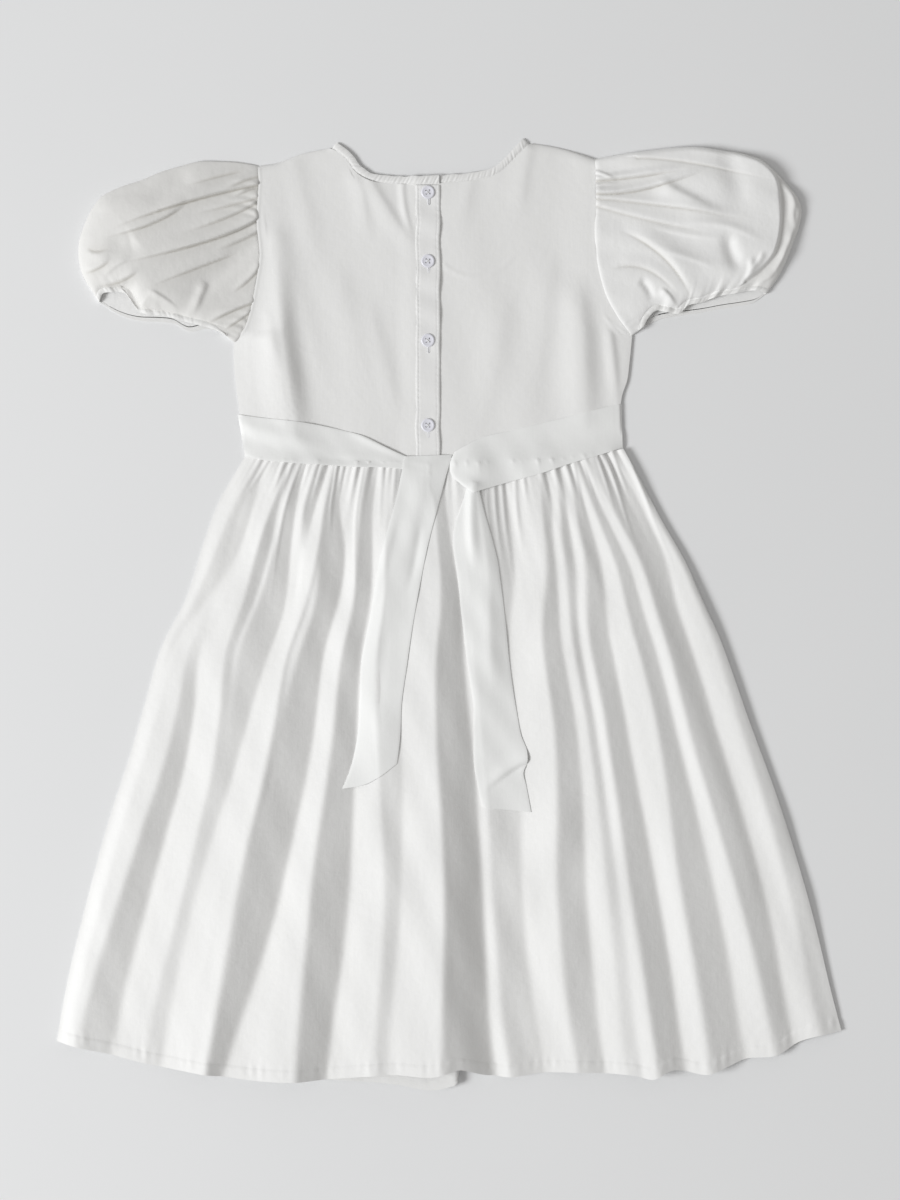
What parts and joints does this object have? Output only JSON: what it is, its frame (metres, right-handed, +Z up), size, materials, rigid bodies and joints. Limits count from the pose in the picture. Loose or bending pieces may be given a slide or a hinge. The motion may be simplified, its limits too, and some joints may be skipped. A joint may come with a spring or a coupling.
{
  "type": "toddler dress",
  "caption": "Short-sleeved white toddler dress lying flat, back up, with puffed sleeves, a buttoned back, a gathered skirt and a tied sash.",
  "frame": {"origin": "on the surface the dress lies on, under the middle of its box", "axes": "+Y from hem to neck, +Z up out of the surface and out of the wearer's back, +X to the right"},
  "size_m": [0.5649, 0.6847, 0.0332],
  "materials": {
    "dress_cloth": "fine plain weave, soft sheen",
    "binding_cloth": "bias cut, stitched",
    "sash_cloth": "pressed, doubled",
    "button": "pale, semi-gloss"
  },
  "bodies": {
    "root": {"bodice_front": "dress_cloth", "bodice_back_left": "dress_cloth", "bodice_back_right": "dress_cloth", "back_placket": "dress_cloth", "neck_binding_back_left": "binding_cloth", "neck_binding_back_right": "binding_cloth", "neck_binding_front": "binding_cloth", "button_1": "button", "button_2": "button", "button_3": "button", "button_4": "button", "sleeve_left": "dress_cloth", "sleeve_right": "dress_cloth", "cuff_left": "binding_cloth", "cuff_right": "binding_cloth", "sash_left": "sash_cloth", "sash_right": "sash_cloth", "sash_tail_left": "sash_cloth", "sash_tail_right": "sash_cloth", "skirt_front": "dress_cloth", "skirt_back": "dress_cloth"}
  },
  "joints": []
}
